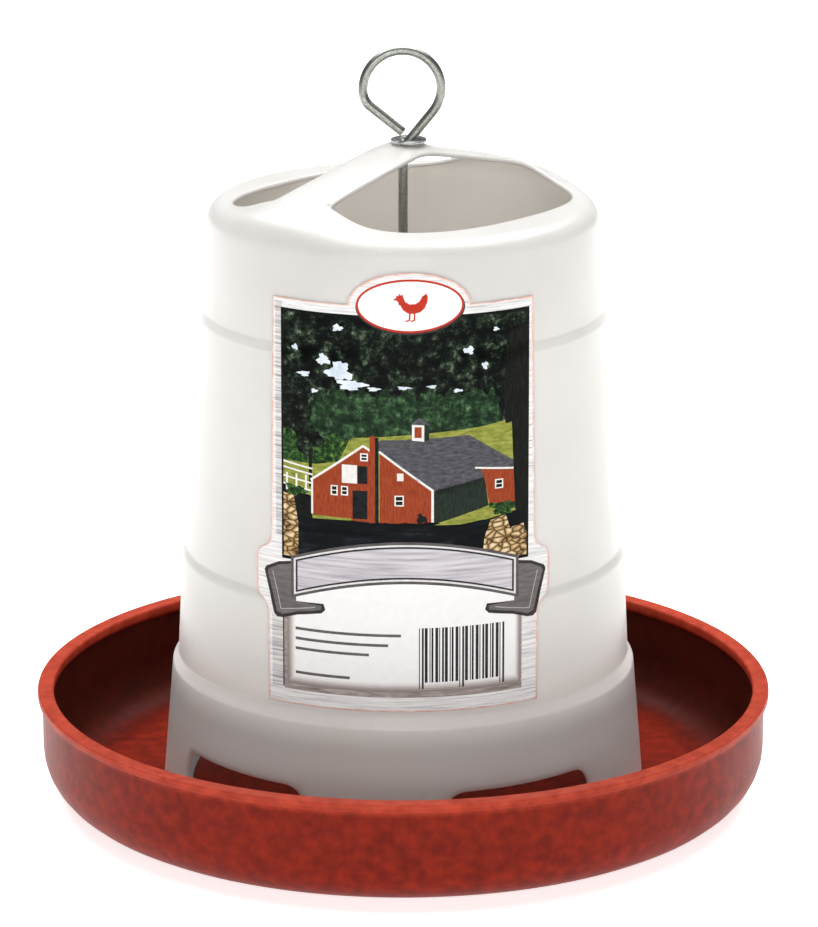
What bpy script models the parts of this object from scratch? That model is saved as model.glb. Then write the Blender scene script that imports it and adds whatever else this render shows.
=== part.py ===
"""Gravity poultry feeder that hangs by a wire eye: a moulded feed pan, a blow-moulded hopper with a
carrying bridge across its open top, and a wire hanger rod that clamps the two together.

Metres, +Z up. The origin is the centre of the pan's underside, on the vertical axis that the pan,
the hopper, the rod and the wing nut share. The front, where the label is, faces -Y.
"""
from math import asin, atan2, cos, degrees, hypot, pi, radians, sin

import bmesh
import bpy
from mathutils import Vector

MM = 0.001
GAP = 0.3 * MM              # clearance left between pieces that touch
SEGMENTS = 60               # flats round every large turned piece

# Feed pan
PAN_RADIUS = 120 * MM
PAN_HEIGHT = 36 * MM
PAN_WALL_RADIUS = 118.5 * MM
PAN_WALL = 2.6 * MM
PAN_FLOOR = 2.8 * MM
PAN_CORNER = 17 * MM        # outer radius where the wall turns into the underside
RIM_WIDTH = 5.3 * MM
RIM_DEPTH = 2.4 * MM
CONE_FOOT_RADIUS = 73 * MM  # where the floor starts to rise to the centre
BOSS_RADIUS = 9.5 * MM
BOSS_HEIGHT = 24 * MM
BOSS_WALL = 2.4 * MM
BOSS_HOLE = 2.1 * MM

# Hopper
HOPPER_WALL = 1.6 * MM
HOPPER_FOOT = PAN_FLOOR + GAP
FOOT_RADIUS = 79.0 * MM
SHOULDER = (75.6 * MM, 42.0 * MM, 73.6 * MM, 48.0 * MM)     # radius, height, then above the step
LOWER_STEP = (71.9 * MM, 81.5 * MM, 70.5 * MM, 84.0 * MM)
UPPER_STEP = (65.5 * MM, 160.5 * MM, 64.6 * MM, 163.5 * MM)
CROWN_RADIUS = 56.7 * MM    # where the crown starts to round over into the wall
CROWN_RINGS = (6 * MM, 10 * MM, 15 * MM, 21 * MM, 28 * MM, 36 * MM, 44 * MM, 51 * MM)
RIDGE_HEIGHT = 197.4 * MM
RIDGE_ROUND = 6 * MM
ROD_HOLE = 3.5 * MM

# Carrying bridge: a raised band across the top, with a filling opening on each side
BRIDGE_TURN = radians(47)   # direction of the bridge, from +X
BRIDGE_SPREAD = 22 * MM     # half width at which the crown has fallen halfway to the rim
BRIDGE_CREST = ((0, 18.8), (6, 18.2), (12, 16.1), (29, 11.6), (45, 7.6), (56, 3.6), (63, 1.5))
OPENING_ENDS = (45.2 * MM, 47.4 * MM)   # its reach along the bridge, to its outer and inner end
OPENING_NEAR = 9.5 * MM     # its straight side, measured from the bridge's centreline
OPENING_WIDEST = 14 * MM
OPENING_FAR = 45.7 * MM
OPENING_SQUARENESS = (2.1, 2.9, 6)      # 2 is an oval: outer end, inner end, beside the bridge

# Feed ports
PORT_TURNS = (-44, 30, 136, 210)    # degrees, from the front towards +X
PORT_HALF_WIDTH = 28.5 * MM
PORT_TOP = 23.7 * MM
PORT_ROUND = 8 * MM
PORT_CUT_RADIUS = 74 * MM   # middle of the band of wall that the ports are cut through
PORT_CUT_DEPTH = 14 * MM

# Hanger rod and its fastening
ROD_RADIUS = 1.5 * MM
ROD_FOOT = 7 * MM
NECK_HEIGHT = 212.6 * MM    # where the straight rod starts to lean into the eye
NECK_BEND = 5 * MM
EYE_RADIUS = 12.4 * MM      # centreline
EYE_CENTRE = (-0.3 * MM, 233.8 * MM)
EYE_TAIL_RADIUS = 6 * MM    # tighter bend that leads into the straight tail
EYE_TAIL_TURNS = (radians(185), radians(231))
EYE_TAIL_LENGTH = 13.4 * MM
EYE_PITCH = 3.7 * MM        # how far the tail sits in front of the neck
TOP_WASHER = (5.75 * MM, 2.95 * MM, 0.85 * MM)       # outer radius, hole radius, thickness
TOP_WASHER_OFFSET = 1.8 * MM
LOWER_WASHER = (7.0 * MM, 2.0 * MM, 1.0 * MM)
NUT_RADIUS = 4.4 * MM
NUT_HEIGHT = 5.0 * MM
NUT_HOLE = 1.9 * MM
WING_SPAN = 11.5 * MM       # centre to wing tip
WING_THICKNESS = 1.8 * MM

# Label
LABEL_GAP = 0.3 * MM
LABEL_THICKNESS = 0.25 * MM
LABEL_BOTTOM = 49.7 * MM
LABEL_TOP = 178.5 * MM
LABEL_HALF_WIDTHS = (42.2 * MM, 40.3 * MM)          # at the bottom and the top
LABEL_RIBBON = (46 * MM, 84 * MM, 99 * MM)          # half width at the ribbon's ends, its heights
LABEL_BADGE = (2 * MM, 19 * MM, 10.5 * MM)          # centre, half width and rise of the top bump


def clear_scene():
    for item in list(bpy.data.objects):
        bpy.data.objects.remove(item, do_unlink=True)


def collection(name):
    made = bpy.data.collections.new(name)
    bpy.context.scene.collection.children.link(made)
    return made


clear_scene()
PARTS = collection("gravity_poultry_feeder")
CUTTERS = collection("cutters")


def material(name, colour, roughness, metallic=0.0):
    made = bpy.data.materials.new(name)
    made.use_nodes = True
    shader = made.node_tree.nodes["Principled BSDF"]
    shader.inputs["Base Color"].default_value = (*colour, 1)
    shader.inputs["Roughness"].default_value = roughness
    shader.inputs["Metallic"].default_value = metallic
    return made


def add_object(name, data, home, look=None):
    made = bpy.data.objects.new(name, data)
    home.objects.link(made)
    if look:
        data.materials.append(look)
    return made


def smooth(piece, angle=35):
    piece.data.shade_smooth()
    piece.data.set_sharp_from_angle(angle=radians(angle))


def arc(centre, radius, start, end, count):
    """Points of an arc in the r, z plane, both ends included; angles in degrees."""
    points = []
    for step in range(count + 1):
        turn = radians(start + (end - start) * step / count)
        points.append((centre[0] + radius * cos(turn), centre[1] + radius * sin(turn)))
    return points


def profile_mesh(name, points, closed):
    count = len(points)
    edges = [(i, i + 1) for i in range(count - 1)]
    if closed:
        edges.append((count - 1, 0))
    mesh = bpy.data.meshes.new(name)
    mesh.from_pydata([(r, 0, z) for r, z in points], edges, [])
    return mesh


def turned(name, points, home, look=None, closed=True, turn=2 * pi, segments=SEGMENTS):
    """Spin a profile of (radius, height) points, written down the outer side, about Z."""
    made = add_object(name, profile_mesh(name, points, closed), home, look)
    screw = made.modifiers.new("turn", "SCREW")
    screw.axis = "Z"
    screw.angle = turn
    screw.steps = segments
    screw.render_steps = segments
    screw.use_merge_vertices = abs(turn - 2 * pi) < 1e-6
    screw.merge_threshold = 0.00001
    return made


def baked(piece):
    """Replace a piece's mesh by what its modifiers make, so that its points can be moved."""
    bpy.context.view_layer.update()
    evaluated = piece.evaluated_get(bpy.context.evaluated_depsgraph_get())
    mesh = bpy.data.meshes.new_from_object(evaluated)
    piece.modifiers.clear()
    piece.data = mesh
    return piece


def outline_prism(name, points, half_depth, home):
    """A closed outline in the local XY plane, extruded both ways along local Z, as a welded mesh."""
    curve = bpy.data.curves.new(name, "CURVE")
    curve.dimensions = "2D"
    curve.fill_mode = "BOTH"
    curve.extrude = half_depth
    spline = curve.splines.new("POLY")
    spline.points.add(len(points) - 1)
    for point, (x, y) in zip(spline.points, points):
        point.co = (x, y, 0, 1)
    spline.use_cyclic_u = True
    guide = add_object(name + "_outline", curve, home)
    bpy.context.view_layer.update()
    evaluated = guide.evaluated_get(bpy.context.evaluated_depsgraph_get())
    mesh = bpy.data.meshes.new_from_object(evaluated)
    bpy.data.objects.remove(guide, do_unlink=True)
    weld = bmesh.new()
    weld.from_mesh(mesh)
    bmesh.ops.remove_doubles(weld, verts=weld.verts, dist=0.00001)
    bmesh.ops.recalc_face_normals(weld, faces=weld.faces)
    weld.to_mesh(mesh)
    weld.free()
    return add_object(name, mesh, home)


def as_cutter(piece):
    piece.hide_render = True
    piece.display_type = "WIRE"
    return piece


def boolean(piece, cutter, operation="DIFFERENCE"):
    step = piece.modifiers.new(cutter.name, "BOOLEAN")
    step.operation = operation
    step.object = cutter
    step.solver = "EXACT"


def make_pan():
    red = material("red_polypropylene", (0.33, 0.035, 0.028), 0.45)
    wall_inner = PAN_WALL_RADIUS - PAN_WALL
    rim_inner = PAN_RADIUS - RIM_WIDTH
    inner_corner = PAN_CORNER - PAN_WALL
    corner_radius = PAN_WALL_RADIUS - PAN_CORNER
    edge = 0.7 * MM
    points = arc((PAN_RADIUS - edge, PAN_HEIGHT - edge), edge, 90, 0, 2)
    points.append((PAN_RADIUS, PAN_HEIGHT - RIM_DEPTH + edge))
    points.append((PAN_WALL_RADIUS, PAN_HEIGHT - RIM_DEPTH - edge))
    points += arc((corner_radius, PAN_CORNER), PAN_CORNER, 0, -90, 6)
    points.append((CONE_FOOT_RADIUS - 2 * MM, 0))
    points.append((BOSS_RADIUS, BOSS_HEIGHT - BOSS_WALL))
    points.append((BOSS_HOLE, BOSS_HEIGHT - BOSS_WALL))
    points.append((BOSS_HOLE, BOSS_HEIGHT))
    points.append((BOSS_RADIUS, BOSS_HEIGHT))
    points.append((CONE_FOOT_RADIUS, PAN_FLOOR))
    points += arc((corner_radius, PAN_FLOOR + inner_corner), inner_corner, -90, 0, 5)
    points.append((wall_inner, PAN_HEIGHT - 5.2 * MM))
    points.append((rim_inner, PAN_HEIGHT - 3.2 * MM))
    points.append((rim_inner, PAN_HEIGHT - edge))
    points.append((rim_inner + edge, PAN_HEIGHT))
    pan = turned("feed_pan", points, PARTS, red)
    smooth(baked(pan))
    return pan


def crest_height(distance):
    """Rise of the bridge's centreline over the rim, at a distance from the axis in metres."""
    reach = distance / MM
    for (near, high), (far, low) in zip(BRIDGE_CREST, BRIDGE_CREST[1:]):
        if reach <= far:
            part = (reach - near) / (far - near)
            return (high + (low - high) * part) * MM
    return BRIDGE_CREST[-1][1] * MM


def crown_lift(x, y):
    """Rise of the crown over the rim: the bridge's crest, falling away to both sides."""
    aside = -x * sin(BRIDGE_TURN) + y * cos(BRIDGE_TURN)
    return crest_height(hypot(x, y)) / (1 + (aside / BRIDGE_SPREAD) ** 4)


def hopper_profile():
    """The outer skin from the rod hole out over the rim and down to the foot."""
    points = [(ROD_HOLE, RIDGE_HEIGHT)]
    points += [(radius, RIDGE_HEIGHT) for radius in CROWN_RINGS]
    points += arc((CROWN_RADIUS, RIDGE_HEIGHT - RIDGE_ROUND), RIDGE_ROUND, 90, 4, 5)
    points += [(UPPER_STEP[2], UPPER_STEP[3]), (UPPER_STEP[0], UPPER_STEP[1])]
    points += [(LOWER_STEP[2], LOWER_STEP[3]), (LOWER_STEP[0], LOWER_STEP[1])]
    step_in = SHOULDER[0] - SHOULDER[2]
    points.append((SHOULDER[2], SHOULDER[3]))
    points += arc((SHOULDER[2] - 0.4 * MM, SHOULDER[1]), step_in + 0.4 * MM, 60, 0, 2)
    points.append((FOOT_RADIUS, HOPPER_FOOT))
    return points


def opening_outline():
    """Half-moon beside the bridge, in bridge coordinates: along the bridge, away from it."""
    outer, inner, straight = OPENING_SQUARENESS
    points = []
    for turn in range(0, 360, 8):
        across = cos(radians(turn))
        away = sin(radians(turn))
        if away < 0:
            power = 2 / straight
            depth = OPENING_WIDEST - OPENING_NEAR
        else:
            power = 2 / (outer if across > 0 else inner)
            depth = OPENING_FAR - OPENING_WIDEST
        reach = OPENING_ENDS[0] if across > 0 else -OPENING_ENDS[1]
        points.append((reach * abs(across) ** power,
                       OPENING_WIDEST + (depth if away > 0 else -depth) * abs(away) ** power))
    return points


def port_outline():
    """A notch open at the foot, with rounded upper corners: across, up."""
    bottom = HOPPER_FOOT - 6 * MM
    points = [(-PORT_HALF_WIDTH, bottom), (PORT_HALF_WIDTH, bottom)]
    corner = (PORT_HALF_WIDTH - PORT_ROUND, PORT_TOP - PORT_ROUND)
    points += arc(corner, PORT_ROUND, 0, 90, 4)
    points += arc((-corner[0], corner[1]), PORT_ROUND, 90, 180, 4)
    return points


def make_hopper():
    milky = material("milky_polyethylene", (0.79, 0.77, 0.74), 0.38)
    hopper = turned("hopper", hopper_profile(), PARTS, milky, closed=False)
    baked(hopper)
    base = RIDGE_HEIGHT - RIDGE_ROUND   # the lift fades out down the rounded ridge
    for vertex in hopper.data.vertices:
        share = min(1.0, max(0.0, (vertex.co.z - base) / RIDGE_ROUND))
        vertex.co.z += crown_lift(vertex.co.x, vertex.co.y) * share
    shell = hopper.modifiers.new("wall", "SOLIDIFY")
    shell.thickness = HOPPER_WALL
    shell.offset = -1
    for side in (0, 1):
        cutter = outline_prism(f"opening_cutter_{side + 1}", opening_outline(), 20 * MM, CUTTERS)
        cutter.location.z = RIDGE_HEIGHT + 12 * MM
        cutter.rotation_euler.z = BRIDGE_TURN + pi * side
        boolean(hopper, as_cutter(cutter))
    for number, turn in enumerate(PORT_TURNS, 1):
        cutter = outline_prism(f"port_cutter_{number}", port_outline(), PORT_CUT_DEPTH,
                               CUTTERS)
        cutter.rotation_euler = (pi / 2, 0, radians(turn))
        cutter.location = (PORT_CUT_RADIUS * sin(radians(turn)),
                           -PORT_CUT_RADIUS * cos(radians(turn)), 0)
        boolean(hopper, as_cutter(cutter))
    smooth(hopper)
    return hopper


def label_outline():
    """Front view of the label: upright sides, ribbon ends that stand out, a round bump on top."""
    bottom, top = LABEL_HALF_WIDTHS
    ribbon, low, high = LABEL_RIBBON
    centre, half, rise = LABEL_BADGE
    slant = 2 * MM
    right = [(bottom, LABEL_BOTTOM), (bottom, low - slant), (ribbon, low), (ribbon, high),
             (top + slant / 2, high + slant), (top, LABEL_TOP)]
    bump = []
    for step in range(11):
        turn = pi * step / 10
        bump.append((centre + half * cos(turn), LABEL_TOP + rise * sin(turn)))
    left = [(-x, z) for x, z in reversed(right)]
    return right + bump + left


def make_label():
    paper = material("printed_label", (0.42, 0.42, 0.4), 0.5)
    skin = []
    for radius, height in hopper_profile():
        if SHOULDER[3] <= height < RIDGE_HEIGHT - RIDGE_ROUND + 1 * MM:
            skin.append((radius + LABEL_GAP, height))
    span = radians(88)
    label = turned("label", skin, PARTS, paper, closed=False, turn=span, segments=22)
    label.rotation_euler.z = -pi / 2 - span / 2
    shell = label.modifiers.new("thickness", "SOLIDIFY")
    shell.thickness = LABEL_THICKNESS
    shell.offset = 1
    cutter = outline_prism("label_die", label_outline(), 40 * MM, CUTTERS)
    cutter.rotation_euler.x = pi / 2
    cutter.location.y = -70 * MM
    boolean(label, as_cutter(cutter), "INTERSECT")
    smooth(baked(label))
    return label


def rod_path():
    """Centreline of the hanger rod: straight up, over a bend, round the eye and down the tail.

    The bend turns until the rod's line touches the eye's circle, which gives the lean of the neck.
    """
    eye_x, eye_z = EYE_CENTRE
    across = NECK_BEND - eye_x
    rise = eye_z - NECK_HEIGHT
    lean = asin((NECK_BEND + EYE_RADIUS) / hypot(across, rise)) - atan2(across, rise)
    points = [(0, 0, ROD_FOOT), (0, 0, 100 * MM)]
    for step in range(5):
        turn = lean * step / 4
        points.append((NECK_BEND * (1 - cos(turn)), 0, NECK_HEIGHT + NECK_BEND * sin(turn)))
    first, last = EYE_TAIL_TURNS
    count = 28
    for step in range(count + 1):
        turn = -lean + (first + lean) * step / count
        forward = -EYE_PITCH * step / (count + 5)
        points.append((eye_x + EYE_RADIUS * cos(turn), forward, eye_z + EYE_RADIUS * sin(turn)))
    inner_x = eye_x + (EYE_RADIUS - EYE_TAIL_RADIUS) * cos(first)
    inner_z = eye_z + (EYE_RADIUS - EYE_TAIL_RADIUS) * sin(first)
    for step in range(1, 6):
        turn = first + (last - first) * step / 5
        forward = -EYE_PITCH * (count + step) / (count + 5)
        points.append((inner_x + EYE_TAIL_RADIUS * cos(turn), forward,
                       inner_z + EYE_TAIL_RADIUS * sin(turn)))
    x, y, z = points[-1]
    points.append((x - EYE_TAIL_LENGTH * sin(last), y, z + EYE_TAIL_LENGTH * cos(last)))
    return points


def make_hanger_rod():
    steel = material("zinc_plated_steel", (0.42, 0.43, 0.41), 0.35, 1.0)
    curve = bpy.data.curves.new("hanger_rod", "CURVE")
    curve.dimensions = "3D"
    curve.bevel_depth = ROD_RADIUS
    curve.bevel_resolution = 2
    curve.use_fill_caps = True
    path = rod_path()
    spline = curve.splines.new("POLY")
    spline.points.add(len(path) - 1)
    for point, place in zip(spline.points, path):
        point.co = (*place, 1)
    return add_object("hanger_rod", curve, PARTS, steel)


def washer(name, sizes, bottom, offset, look):
    outer, hole, thickness = sizes
    points = [(outer, thickness), (outer, 0), (hole, 0), (hole, thickness)]
    made = turned(name, points, PARTS, look, segments=28)
    smooth(baked(made))
    made.location = (offset, 0, bottom)
    return made


def wing_outline():
    """One wing seen from the side: along the radius, up. It rises to a rounded tip."""
    root = NUT_HOLE + 1.2 * MM
    tip = (WING_SPAN - 2.6 * MM, NUT_HEIGHT - 1.2 * MM)
    return [(root, 0.6 * MM), (WING_SPAN - 4.4 * MM, 0.9 * MM)] + \
        arc(tip, 2.6 * MM, -40, 130, 6) + [(root, NUT_HEIGHT - 0.8 * MM)]


def make_wing_nut(steel):
    points = [(NUT_RADIUS - 0.7 * MM, NUT_HEIGHT), (NUT_RADIUS, 0), (NUT_HOLE, 0),
              (NUT_HOLE, NUT_HEIGHT)]
    nut = turned("wing_nut", points, PARTS, steel, segments=24)
    baked(nut)
    for side in (0, 1):
        wing = outline_prism(f"wing_{side + 1}", wing_outline(), WING_THICKNESS / 2, CUTTERS)
        wing.rotation_euler = (pi / 2, 0, pi * side)
        wing.parent = nut
        boolean(nut, as_cutter(wing), "UNION")
    smooth(nut)
    nut.rotation_euler.x = pi
    return nut


make_pan()
hopper = make_hopper()
label_piece = make_label()
label_piece.parent = hopper
rod = make_hanger_rod()
plated = rod.data.materials[0]
crown_top = RIDGE_HEIGHT + BRIDGE_CREST[0][1] * MM
top_washer = washer("top_washer", TOP_WASHER, crown_top + GAP, TOP_WASHER_OFFSET, plated)
top_washer.parent = rod
washer_bottom = BOSS_HEIGHT - BOSS_WALL - GAP - LOWER_WASHER[2]
washer("lower_washer", LOWER_WASHER, washer_bottom, 0, plated)
nut_piece = make_wing_nut(plated)
nut_piece.location.z = washer_bottom - GAP
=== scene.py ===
"""Looks of a hanging gravity feeder for poultry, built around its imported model. Metres, +Z up."""
from math import asin, atan2, ceil, cos, hypot, pi, radians, sin, sqrt, tan

import bmesh
import bpy
import numpy as np
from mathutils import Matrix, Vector
from mathutils.geometry import delaunay_2d_cdt


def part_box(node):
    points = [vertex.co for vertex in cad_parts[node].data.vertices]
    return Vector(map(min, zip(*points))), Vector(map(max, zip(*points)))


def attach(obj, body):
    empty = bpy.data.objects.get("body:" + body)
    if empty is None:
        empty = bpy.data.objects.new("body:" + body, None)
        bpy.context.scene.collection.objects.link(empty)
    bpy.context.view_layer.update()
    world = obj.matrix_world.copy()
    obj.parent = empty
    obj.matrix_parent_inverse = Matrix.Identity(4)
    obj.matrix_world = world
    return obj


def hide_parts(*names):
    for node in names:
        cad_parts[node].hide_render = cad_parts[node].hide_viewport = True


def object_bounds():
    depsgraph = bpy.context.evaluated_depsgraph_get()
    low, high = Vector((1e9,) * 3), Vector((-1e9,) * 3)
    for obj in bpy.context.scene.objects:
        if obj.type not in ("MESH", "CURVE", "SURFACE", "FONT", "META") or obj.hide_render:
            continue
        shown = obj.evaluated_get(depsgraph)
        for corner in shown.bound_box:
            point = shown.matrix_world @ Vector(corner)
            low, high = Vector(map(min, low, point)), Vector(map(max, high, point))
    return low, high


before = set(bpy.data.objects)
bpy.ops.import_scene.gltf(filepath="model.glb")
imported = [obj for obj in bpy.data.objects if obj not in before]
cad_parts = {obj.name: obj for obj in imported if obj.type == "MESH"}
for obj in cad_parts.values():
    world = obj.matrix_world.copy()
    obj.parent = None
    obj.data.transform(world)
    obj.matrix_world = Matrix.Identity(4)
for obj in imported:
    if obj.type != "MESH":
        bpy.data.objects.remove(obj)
cad_low, cad_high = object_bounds()
MM = 0.001


# ---------------------------------------------------------------- studio
# A white paper sweep under one broad light, above and a little behind, and a weak front fill: faces
# that look up are bright, the milky hopper glows, and the inside of the pan stays deep in shade,
# part of which is painted shade in the pan's colour.
VIEW_DISTANCE = 1.5
VIEW_DOWN = radians(16.07)
VIEW_AIM = Vector((0.0019, 0, 0.1097))
LENS_MM = 179.4


def srgb(text):
    """An sRGB hex colour as the linear colour that shaders take."""
    channels = [int(text[i:i + 2], 16) / 255 for i in (1, 3, 5)]
    linear = [c / 12.92 if c <= 0.04045 else ((c + 0.055) / 1.055) ** 2.4 for c in channels]
    return (*linear, 1)


def new_material(name):
    made = bpy.data.materials.new(name)
    made.use_nodes = True
    return made, made.node_tree, made.node_tree.nodes["Principled BSDF"]


def add(tree, kind, settings, inputs, output=0):
    """Add one node with its settings, its colour stops and its plain or linked inputs."""
    made = tree.nodes.new("ShaderNode" + kind)
    for key, value in settings.items():
        if key == "stops":
            elements = made.color_ramp.elements
            while len(elements) < len(value):
                elements.new(0.5)
            for element, (place, colour) in zip(elements, value):
                element.position = place
                element.color = srgb(colour)
        else:
            setattr(made, key, value)
    for key, value in inputs.items():
        if isinstance(value, bpy.types.NodeSocket):
            tree.links.new(value, made.inputs[key])
        else:
            made.inputs[key].default_value = value
    return made.outputs[output]


def make_studio():
    camera = bpy.data.cameras.new("view")
    camera.sensor_fit = "VERTICAL"
    camera.sensor_height = 36
    camera.lens = LENS_MM
    camera.clip_start = 0.05
    eye = bpy.data.objects.new("view", camera)
    eye.location = VIEW_AIM + VIEW_DISTANCE * Vector((0, -cos(VIEW_DOWN), sin(VIEW_DOWN)))
    eye.rotation_euler = (pi / 2 - VIEW_DOWN, 0, 0)
    bpy.context.scene.collection.objects.link(eye)
    bpy.context.scene.camera = eye

    paper, tree, shader = new_material("white_paper_sweep")
    fibre = add(tree, "TexNoise", {}, {"Scale": 400.0, "Detail": 3.0})
    tone = add(tree, "ValToRGB", {"stops": [(0.0, "#F6F6F5"), (1.0, "#FBFBFA")]}, {"Fac": fibre})
    tree.links.new(tone, shader.inputs["Base Color"])
    shader.inputs["Roughness"].default_value = 0.8
    shader.inputs["Emission Color"].default_value = srgb("#FFFFFF")
    shader.inputs["Emission Strength"].default_value = 0.74
    mesh = bpy.data.meshes.new("paper_sweep")
    reach = 4.0
    corners = [(-reach, -reach, 0), (reach, -reach, 0), (reach, reach, 0), (-reach, reach, 0)]
    mesh.from_pydata(corners, [], [(0, 1, 2, 3)])
    mesh.materials.append(paper)
    sweep = bpy.data.objects.new("paper_sweep", mesh)
    sweep.location.z = cad_low[2] - 0.2 * MM
    bpy.context.scene.collection.objects.link(sweep)

    for name, power, width, height, place, aim in (
        ("overhead", 66, 2.4, 2.0, (0, 0.55, 1.75), (0, 0.15, 0)),
        ("front_fill", 11.5, 1.6, 0.9, (0, -1.9, 0.7), (0, 0, 0.12)),
    ):
        light = bpy.data.lights.new(name, "AREA")
        light.shape = "RECTANGLE"
        light.energy = power
        light.size = width
        light.size_y = height
        lamp = bpy.data.objects.new(name, light)
        lamp.location = place
        lamp.rotation_euler = (Vector(aim) - Vector(place)).to_track_quat("-Z", "Y").to_euler()
        bpy.context.scene.collection.objects.link(lamp)
    world = bpy.data.worlds.new("studio_air")
    world.use_nodes = True
    world.node_tree.nodes["Background"].inputs["Color"].default_value = (1, 1, 1, 1)
    world.node_tree.nodes["Background"].inputs["Strength"].default_value = 0.1
    bpy.context.scene.world = world
    bpy.context.scene.view_settings.view_transform = "Standard"


make_studio()


# ---------------------------------------------------------------- feed pan
# One injection moulding in brick-red polypropylene: upright wall, thick rim, and a floor that
# rises to a boss in the middle. The cone is hollow below, where the wing nut sits.
PAN_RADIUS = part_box("feed_pan")[1].x
PAN_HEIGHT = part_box("feed_pan")[1].z
PAN_WALL_RADIUS = PAN_RADIUS - 1.5 * MM
PAN_WALL = 2.6 * MM
PAN_FLOOR = 2.8 * MM
PAN_CORNER = 17 * MM
RIM_WIDTH = 5.3 * MM
RIM_DEPTH = 2.4 * MM
CONE_FOOT_RADIUS = 73 * MM
BOSS_RADIUS = 9.5 * MM
BOSS_HEIGHT = 24 * MM
BOSS_WALL = 2.4 * MM
BOSS_HOLE = 2.1 * MM
# Painted shade: these four values set where and how strongly a near-black colour is painted on the
# inner wall.
SHADE_START = PAN_WALL_RADIUS - 22 * MM     # the inner wall's darker tone fades in between
SHADE_FULL = PAN_WALL_RADIUS - 5 * MM       # these two distances from the axis
SHADE_TOP = PAN_HEIGHT - 4 * MM
SHADE_WEIGHT = 0.8


def rounded(corners, steps=6, closed=True):
    """A polyline with its corners rounded: each corner is (radius from axis, height, rounding)."""
    points = []
    count = len(corners)
    for index, (r, z, size) in enumerate(corners):
        here = Vector((r, z))
        if size == 0 or (not closed and index in (0, count - 1)):
            points.append((r, z))
            continue
        back = (Vector(corners[index - 1][:2]) - here).normalized()
        ahead = (Vector(corners[(index + 1) % count][:2]) - here).normalized()
        half = back.angle(ahead) / 2
        centre = here + (back + ahead).normalized() * size / sin(half)
        start = here + back * size / tan(half) - centre
        sweep = start.angle_signed(here + ahead * size / tan(half) - centre)
        for step in range(steps + 1):
            turn = -sweep * step / steps
            x = start.x * cos(turn) - start.y * sin(turn)
            y = start.x * sin(turn) + start.y * cos(turn)
            points.append((centre.x + x, centre.y + y))
    return points


def spun(profile, segments, closed=True):
    """Vertices and faces of a profile of (radius, height) points turned about Z."""
    count = len(profile)
    verts = []
    for step in range(segments):
        turn = 2 * pi * step / segments
        verts += [(r * cos(turn), r * sin(turn), z) for r, z in profile]
    faces = []
    for step in range(segments):
        here = step * count
        there = (step + 1) % segments * count
        for i in range(count if closed else count - 1):
            j = (i + 1) % count
            faces.append((here + i, here + j, there + j, there + i))
    return verts, faces


def piece(name, verts, faces, looks, sharp=40):
    """A smooth-shaded object with its faces turned outwards."""
    mesh = bpy.data.meshes.new(name)
    mesh.from_pydata([tuple(v) for v in verts], [], faces)
    work = bmesh.new()
    work.from_mesh(mesh)
    bmesh.ops.remove_doubles(work, verts=work.verts, dist=0.002 * MM)
    bmesh.ops.recalc_face_normals(work, faces=work.faces)
    work.to_mesh(mesh)
    work.free()
    for look in looks:
        mesh.materials.append(look)
    mesh.shade_smooth()
    mesh.set_sharp_from_angle(angle=radians(sharp))
    made = bpy.data.objects.new(name, mesh)
    bpy.context.scene.collection.objects.link(made)
    return made


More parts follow.
